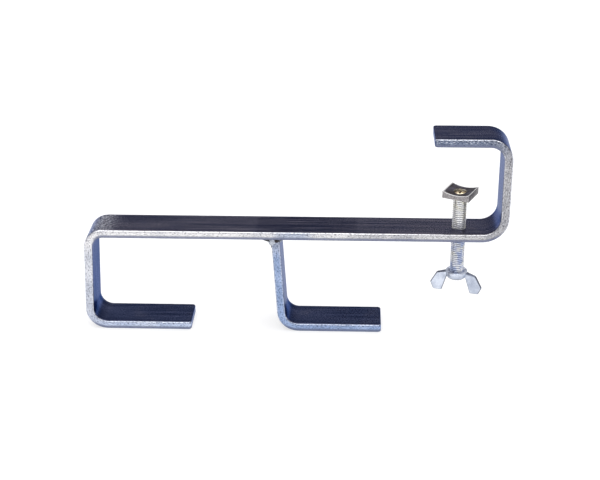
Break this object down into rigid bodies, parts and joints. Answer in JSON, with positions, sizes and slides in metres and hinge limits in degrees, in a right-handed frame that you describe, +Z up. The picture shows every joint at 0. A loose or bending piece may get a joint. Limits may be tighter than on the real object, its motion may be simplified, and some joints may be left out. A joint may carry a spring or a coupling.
{
  "type": "clamp-on double hook",
  "caption": "Bent flat-bar hook with an outer arm and a centre arm, clamped under a round tube by a winged screw and a hollow swivel pad.",
  "frame": {"origin": "middle of the object's footprint, on the plane of the two hook arms' undersides", "axes": "+X along the main bar towards the clamp, +Y across the bar away from the viewer, +Z up"},
  "size_m": [0.307, 0.03, 0.152],
  "materials": {
    "plated_bar": "bright zinc plate over rolled flat bar",
    "plated_weld": "zinc plate over a rippled weld",
    "plated_thread": "bright zinc plate on a rolled thread",
    "plated_casting": "matte zinc plate on a pressed wing nut",
    "pad_steel": "dull plated mild steel",
    "yellow_passivate": "yellow passivated zinc",
    "bush_brass": "turned brass"
  },
  "bodies": {
    "frame": {"main_bar": "plated_bar", "centre_hook": "plated_bar", "weld_bead_left": "plated_weld", "weld_bead_right": "plated_weld"},
    "carriage": {"swivel_bush": "bush_brass"},
    "screw": {"clamp_screw": "plated_thread", "wing_nut": "plated_casting", "wing_lock": "plated_weld", "pad_screw": "yellow_passivate"},
    "pad": {"pressure_pad": "pad_steel"}
  },
  "joints": [
    {"name": "screw_travel", "type": "slide", "parent": "frame", "child": "carriage", "axis": [0, 0, 1], "range_m": [-0.0235, 0.028]},
    {"name": "screw_turn", "type": "hinge", "parent": "carriage", "child": "screw", "pos_m": [0.1193, 0, 0.104], "axis": [0, 0, 1], "range_deg": [-5641, 6721]},
    {"name": "pad_swivel", "type": "hinge", "parent": "carriage", "child": "pad", "pos_m": [0.1193, 0, 0.104], "axis": [0, 0, 1], "continuous": true}
  ],
  "couplings": [
    {"joint": "screw_turn", "follows": "screw_travel", "rad_per_m": 4188.8}
  ]
}
